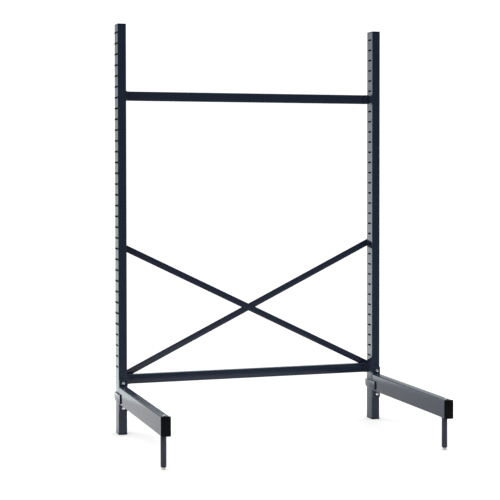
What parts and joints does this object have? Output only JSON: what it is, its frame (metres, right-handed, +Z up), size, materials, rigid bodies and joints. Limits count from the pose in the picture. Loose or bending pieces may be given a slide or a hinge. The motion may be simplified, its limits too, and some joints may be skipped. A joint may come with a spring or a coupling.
{
  "type": "free-standing cantilever hanging rack frame",
  "caption": "Free-standing rack frame with slotted uprights, tie bars, crossed braces and base arms on levelling legs; for hook-in hanging arms.",
  "frame": {"origin": "on the floor, at the middle of the footprint", "axes": "+X to the right along the tie bars, -Y to the front where the base arms point, +Z up"},
  "size_m": [1.327, 0.848, 1.905],
  "materials": {
    "navy_paint": "gloss",
    "zinc": "satin",
    "dark_steel": "satin",
    "black_plastic": "satin",
    "foot_plastic": "matte"
  },
  "bodies": {
    "rack": {"left_upright": "navy_paint", "right_upright": "navy_paint", "left_top_cap": "black_plastic", "right_top_cap": "black_plastic", "left_bottom_cap": "black_plastic", "right_bottom_cap": "black_plastic", "top_tie_bar": "navy_paint", "bottom_tie_bar": "navy_paint", "top_left_cleat": "navy_paint", "top_right_cleat": "navy_paint", "bottom_left_cleat": "navy_paint", "bottom_right_cleat": "navy_paint", "falling_brace": "navy_paint", "rising_brace": "navy_paint", "tie_bar_bolts": "dark_steel", "tie_bar_nuts": "dark_steel", "brace_bolts": "dark_steel", "brace_spacers": "dark_steel", "brace_nuts": "dark_steel", "left_base_arm": "navy_paint", "right_base_arm": "navy_paint", "left_arm_plate": "navy_paint", "right_arm_plate": "navy_paint", "left_outer_cheek": "navy_paint", "left_inner_cheek": "navy_paint", "right_inner_cheek": "navy_paint", "right_outer_cheek": "navy_paint", "left_arm_cap": "black_plastic", "right_arm_cap": "black_plastic", "left_arm_bolts": "zinc", "right_arm_bolts": "zinc", "left_arm_washers": "dark_steel", "right_arm_washers": "dark_steel", "left_arm_nuts": "zinc", "right_arm_nuts": "zinc", "left_tip_bolt": "zinc", "right_tip_bolt": "zinc", "left_tip_nut": "zinc", "right_tip_nut": "zinc", "left_leg": "navy_paint", "right_leg": "navy_paint", "left_leg_insert": "black_plastic", "right_leg_insert": "black_plastic"},
    "left_foot": {"left_levelling_foot": "foot_plastic"},
    "right_foot": {"right_levelling_foot": "foot_plastic"}
  },
  "joints": [
    {"name": "left_foot_screw", "type": "slide", "parent": "rack", "child": "left_foot", "axis": [0, 0, 1], "range_m": [-0.012, 0.0005]},
    {"name": "right_foot_screw", "type": "slide", "parent": "rack", "child": "right_foot", "axis": [0, 0, 1], "range_m": [-0.012, 0.0005]}
  ]
}
